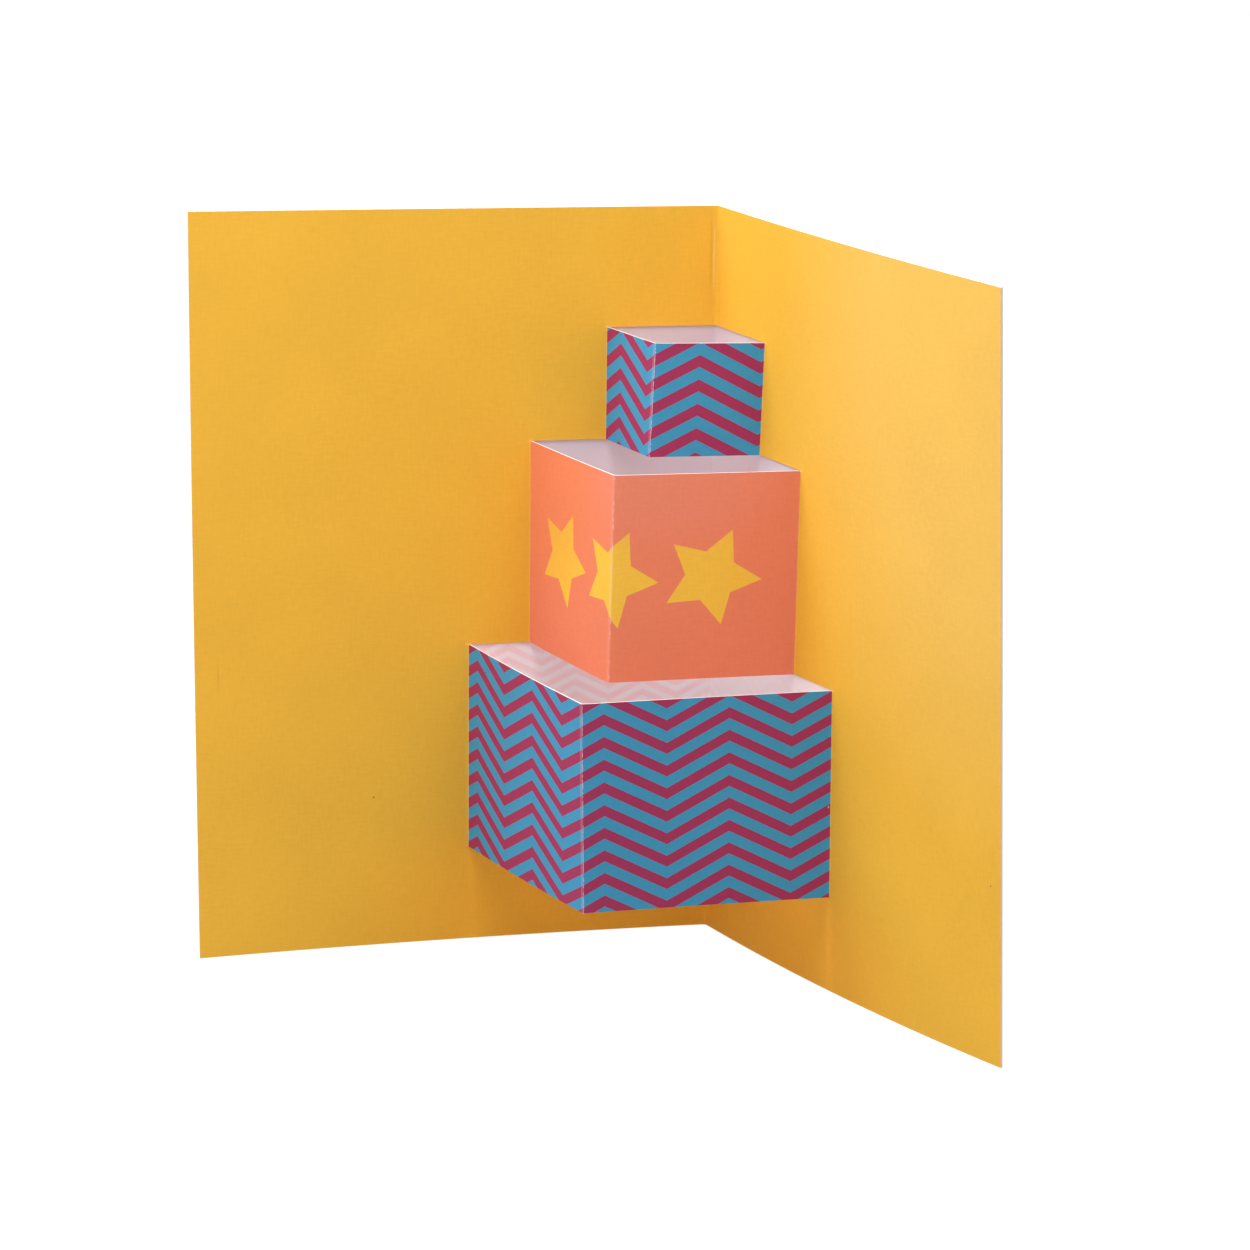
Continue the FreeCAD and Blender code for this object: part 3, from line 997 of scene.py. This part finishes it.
@dataclass
class Studio:
    """A pale floor, soft lamps above and on the left, and the camera at the photograph's angle.

    aim, distance: the point that the camera and the lamps face, and how far off the camera is
    azimuth, elevation, roll: the camera's direction and its turn, in degrees
    lens, sensor: the camera's focal length and the width of its picture
    sight: how far the camera sees, in metres
    floor_side, floor_gap: the floor's side and how far it lies under the card, in metres
    floor_tone, floor_seen: its colour as the card's light meets it, and as the camera does
    floor_glow, floor_share: strength of its own white, and how much of that the camera sees
    fill, backdrop: strength of the white world as light, and as seen by the camera
    """

    aim: tuple[float, float, float] = (-10.4, 9.85, 96.6)
    azimuth: float = 26.9
    elevation: float = 13.5
    roll: float = 0.8
    distance: float = 1395.0
    lens: float = 144.0
    sensor: float = 36.0
    sight: float = 50.0
    floor_side: float = 12.0
    floor_gap: float = 0.0002
    floor_tone: str = "#8C8C8C"
    floor_seen: str = "#F4F4F4"
    floor_glow: float = 1.12
    floor_share: float = 0.8
    fill: float = 0.66
    backdrop: float = 1.0
    lamps: tuple[Lamp, ...] = (Lamp("key_light", (-0.62, -0.34, 0.94), 0.6, 5.2),
                               Lamp("top_light", (-0.01, -0.05, 0.94), 0.9, 15.5))

    def floor(self) -> None:
        """Lay the floor, which looks white to the camera and still takes the card's shadow."""
        half = self.floor_side / 2
        mesh = bpy.data.meshes.new("studio_floor")
        corners = ((-half, -half), (half, -half), (half, half), (-half, half))
        mesh.from_pydata([(x, y, -self.floor_gap) for x, y in corners], [], [(0, 1, 2, 3)])
        piece = bpy.data.objects.new("studio_floor", mesh)
        bpy.context.scene.collection.objects.link(piece)
        paint = bpy.data.materials.new("studio_floor")
        paint.use_nodes = True
        tree = paint.node_tree
        tree.nodes.clear()
        seen = self.seen(tree)
        tone = add(tree, MIX, {MIX_FACTOR: seen, MIX_FIRST: linear(self.floor_tone),
                               MIX_SECOND: linear(self.floor_seen)},
                   out=MIX_RESULT, data_type="RGBA")
        matt = add(tree, "ShaderNodeBsdfDiffuse", {"Color": tone})
        glow = add(tree, "ShaderNodeEmission", {"Color": linear(WHITE), "Strength": self.floor_glow})
        share = add(tree, MATH, [seen, self.floor_share], operation="MULTIPLY")
        mixed = add(tree, "ShaderNodeMixShader", [share, matt, glow])
        add(tree, "ShaderNodeOutputMaterial", [mixed])
        mesh.materials.append(paint)

    def seen(self, tree: Tree) -> Socket:
        """Tell what the camera sees, itself or in a reflection, from the light that the card gets.

        Args:
            tree: the node tree of a material or a world.

        Returns:
            A socket that is 1 for what the camera sees, and 0 for the card's light.
        """
        rays = tree.nodes.new("ShaderNodeLightPath").outputs
        glossy = add(tree, MATH, [rays["Is Camera Ray"], rays["Is Glossy Ray"]], operation="MAXIMUM")
        return add(tree, MATH, [glossy, rays["Is Transmission Ray"]], operation="MAXIMUM")

    def light(self) -> None:
        """Light the card from above and from the left, with a pale world for fill."""
        target = Vector(self.aim) * MM
        for lamp in self.lamps:
            light = bpy.data.lights.new(lamp.name, "AREA")
            light.shape = "SQUARE"
            light.size = lamp.side
            light.energy = lamp.power
            holder = bpy.data.objects.new(lamp.name, light)
            bpy.context.scene.collection.objects.link(holder)
            holder.location = lamp.place
            holder.rotation_euler = (target - holder.location).to_track_quat("-Z", "Y").to_euler()
        world = bpy.data.worlds.new("studio_world")
        bpy.context.scene.world = world
        world.use_nodes = True
        tree = world.node_tree
        tree.nodes.clear()
        dim, white = (add(tree, "ShaderNodeBackground", {"Color": linear(WHITE), "Strength": power})
                      for power in (self.fill, self.backdrop))
        mixed = add(tree, "ShaderNodeMixShader", [self.seen(tree), dim, white])
        add(tree, "ShaderNodeOutputWorld", [mixed])

    def camera(self) -> None:
        """Stand the camera where the photograph was taken from."""
        turn, tip, roll = (math.radians(v) for v in (self.azimuth, self.elevation, self.roll))
        back = Vector((math.sin(turn) * math.cos(tip), -math.cos(turn) * math.cos(tip),
                       math.sin(tip)))
        level = Vector((math.cos(turn), math.sin(turn), 0))
        upright = back.cross(level)
        right = level * math.cos(roll) + upright * math.sin(roll)
        up = upright * math.cos(roll) - level * math.sin(roll)
        lens = bpy.data.cameras.new("photo_camera")
        lens.lens = self.lens
        lens.sensor_width = self.sensor
        lens.clip_end = self.sight
        holder = bpy.data.objects.new("photo_camera", lens)
        bpy.context.scene.collection.objects.link(holder)
        pose = Matrix((right, up, back)).transposed().to_4x4()
        pose.translation = Vector(self.aim) * MM + back * self.distance * MM
        holder.matrix_world = pose
        bpy.context.scene.camera = holder

    def build(self) -> None:
        """Set up the whole studio."""
        bpy.context.scene.view_settings.view_transform = "Standard"
        self.floor()
        self.light()
        self.camera()
        log.info("studio: floor, two lamps, world and camera")


# Marks in the print. The small specks, and the short dark line near the left edge, are wear.
# The two thin lines beside the top of the spine are a painted highlight and a painted shade on its
# crease, and the large ones are painted light and shade, which deepen or pale the print as the light
# falls on the card, beyond what two lamps give.
AMBER_MARKS = (
    Mark(-141.9, 80.0, 0.5, 11.0, "#C98A1E", 0.4),
    # Painted sheen: the amber paler towards the top right of the right panel
    Mark(138.0, 190.0, 200.0, 270.0, "#FFE29A", 0.2),
    # Painted highlight along the spine's crease at its top
    Mark(-0.9, 196.0, 0.6, 24.0, "#FFDD92", 0.38),
    # Painted shade along the spine's crease, beside the highlight
    Mark(-1.8, 196.0, 0.7, 30.0, "#C98B2C", 0.35),
    # Painted shade and bounced orange light, low by the spine under the boxes
    Mark(0.0, 8.0, 230.0, 90.0, "#FFA21E", 0.48),
    Mark(-97.7, 43.0, 0.7, 0.7, "#8A5A1A", 0.8),
    Mark(144.3, 49.4, 0.6, 0.9, "#8A5A1A", 0.8),
)
CHEVRON_MARKS = (
    Mark(-58.6, 80.6, 0.7, 0.7, "#5A1A38", 0.9),
    Mark(69.4, 53.0, 0.5, 0.8, "#E3C6CB", 0.9),
)
CORAL_MARKS = (
    # Painted light: the top of the box's left face more orange
    Mark(-44.0, 134.0, 76.0, 64.0, "#F58B48", 0.25),
    # Painted sheen: the top of the box's right face paler and pinker
    Mark(18.0, 144.0, 70.0, 46.0, "#EE8F7C", 0.4),
)


def main() -> None:
    """Build the card and the studio."""
    card = Card()
    bottom, middle, top = card.boxes
    # The board's plain side, and its edge, which a steel rule cut, drawn greyer than the back as
    # painted shade on the narrow cut faces
    back = CardStock("bare_card", "#FAF3F5", mottle=0.03).build()
    edge = CardStock("shaded_cut_edge", "#E8D8D2", mottle=0.03).build()
    inside = CoverStock("cover_inside", "#F9F1F7", mottle=0.02).build()
    # Board bared where ink has flaked off a crease, still stained by what is left of it
    board = CardStock("bared_board", "#EBD3DA", mottle=0.03).build()
    # The ground is one solid offset ink over the board, too thin to change its matt mesh
    prints = {
        None: CardStock("amber_print", "#ECB333", marks=AMBER_MARKS).build(),
        Pattern.WIDE_CHEVRONS: ChevronPrint(
            Pattern.WIDE_CHEVRONS.value, "#3996C2", marks=CHEVRON_MARKS, peak=6.1,
            half_period=17.55, rise=0.52, period=6.4, band=3.1, top=bottom.top - 3.1).build(),
        Pattern.STARS: StarPrint(
            Pattern.STARS.value, "#ED8361", marks=CORAL_MARKS, worn_share=0.12, middle=-1.0,
            height=middle.top - 29.0).build(),
        Pattern.SMALL_CHEVRONS: ChevronPrint(
            Pattern.SMALL_CHEVRONS.value, "#3996C2", peak=12.4, half_period=16.7, rise=0.54,
            period=6.9, band=3.36, top=top.top - 3.3).build(),
    }
    rule = FoldRule(card)
    bands = [(0.0, bottom.base, None), *((box.base, box.top, box) for box in card.boxes),
             (top.top, card.height, None)]
    FoldedSheet("printed_sheet", card, "pop_up_sheet", SHEET_SLOT, bands, prints,
                back, edge).build(rule)
    InkCracks(card, board).build(rule)
    FoldedSheet("cover_sheet", card, "outer_cover", COVER_SLOT, [(0.0, card.height, None)],
                {None: inside}, back, edge, behind=card.thickness + card.glue).build(rule)
    Studio().build()


if __name__ == "__main__":
    main()
